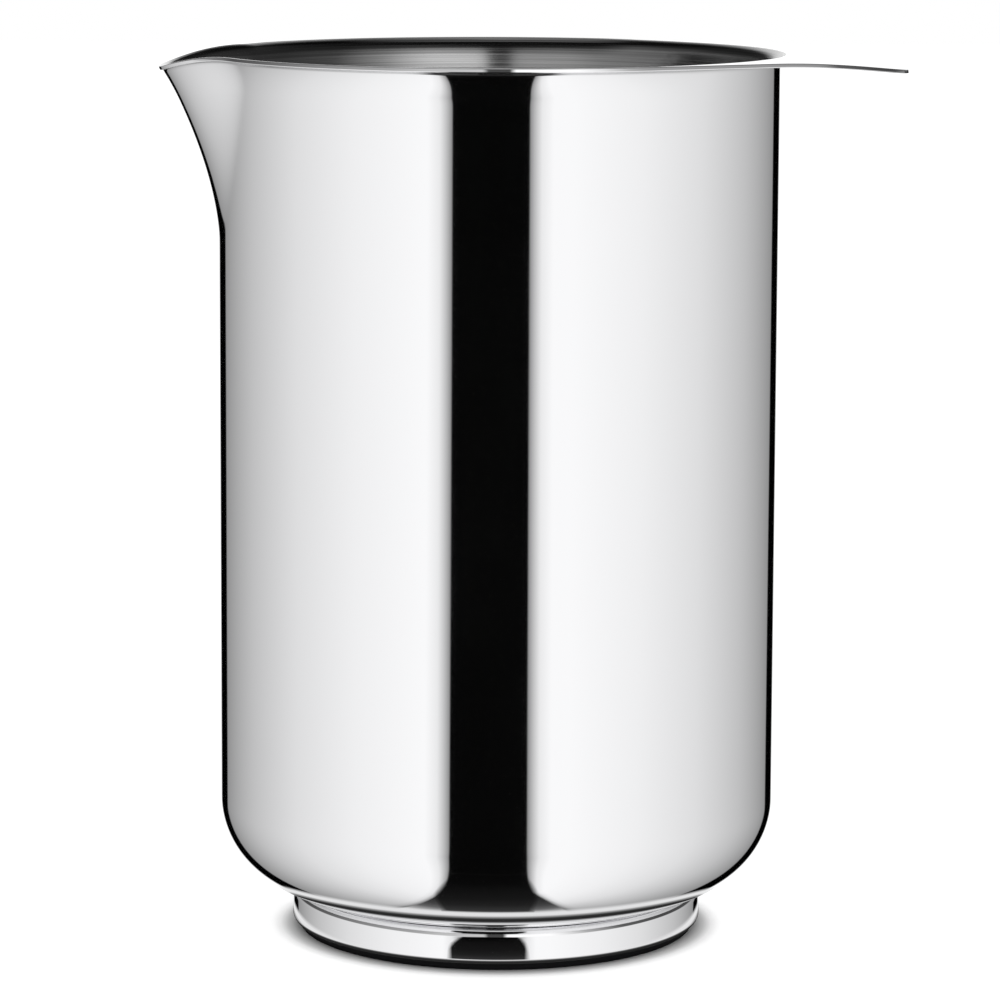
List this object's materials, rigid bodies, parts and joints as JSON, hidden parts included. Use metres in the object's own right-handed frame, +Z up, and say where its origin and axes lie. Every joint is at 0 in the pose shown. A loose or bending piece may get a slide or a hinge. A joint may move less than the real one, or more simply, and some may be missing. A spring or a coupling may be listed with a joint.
{
  "type": "cocktail pitcher",
  "caption": "Straight steel mixing pitcher on a low foot ring, with a pressed pouring spout, a broad flat thumb tab level with its mouth lip and a non-slip ring underneath.",
  "frame": {"origin": "on the cup's axis, at the level of the surface that the pitcher stands on", "axes": "+Z up along the cup's axis, the spout points to -X and the thumb tab to +X, the picture looks along +Y"},
  "size_m": [0.1307, 0.1026, 0.1553],
  "materials": {
    "polished_steel": "mirror polished outside, fine satin inside",
    "black_rubber": "matt black"
  },
  "bodies": {
    "root": {"body_shell": "polished_steel", "pouring_spout": "polished_steel", "thumb_tab": "polished_steel", "foot_ring": "polished_steel", "non_slip_ring": "black_rubber"}
  },
  "joints": []
}
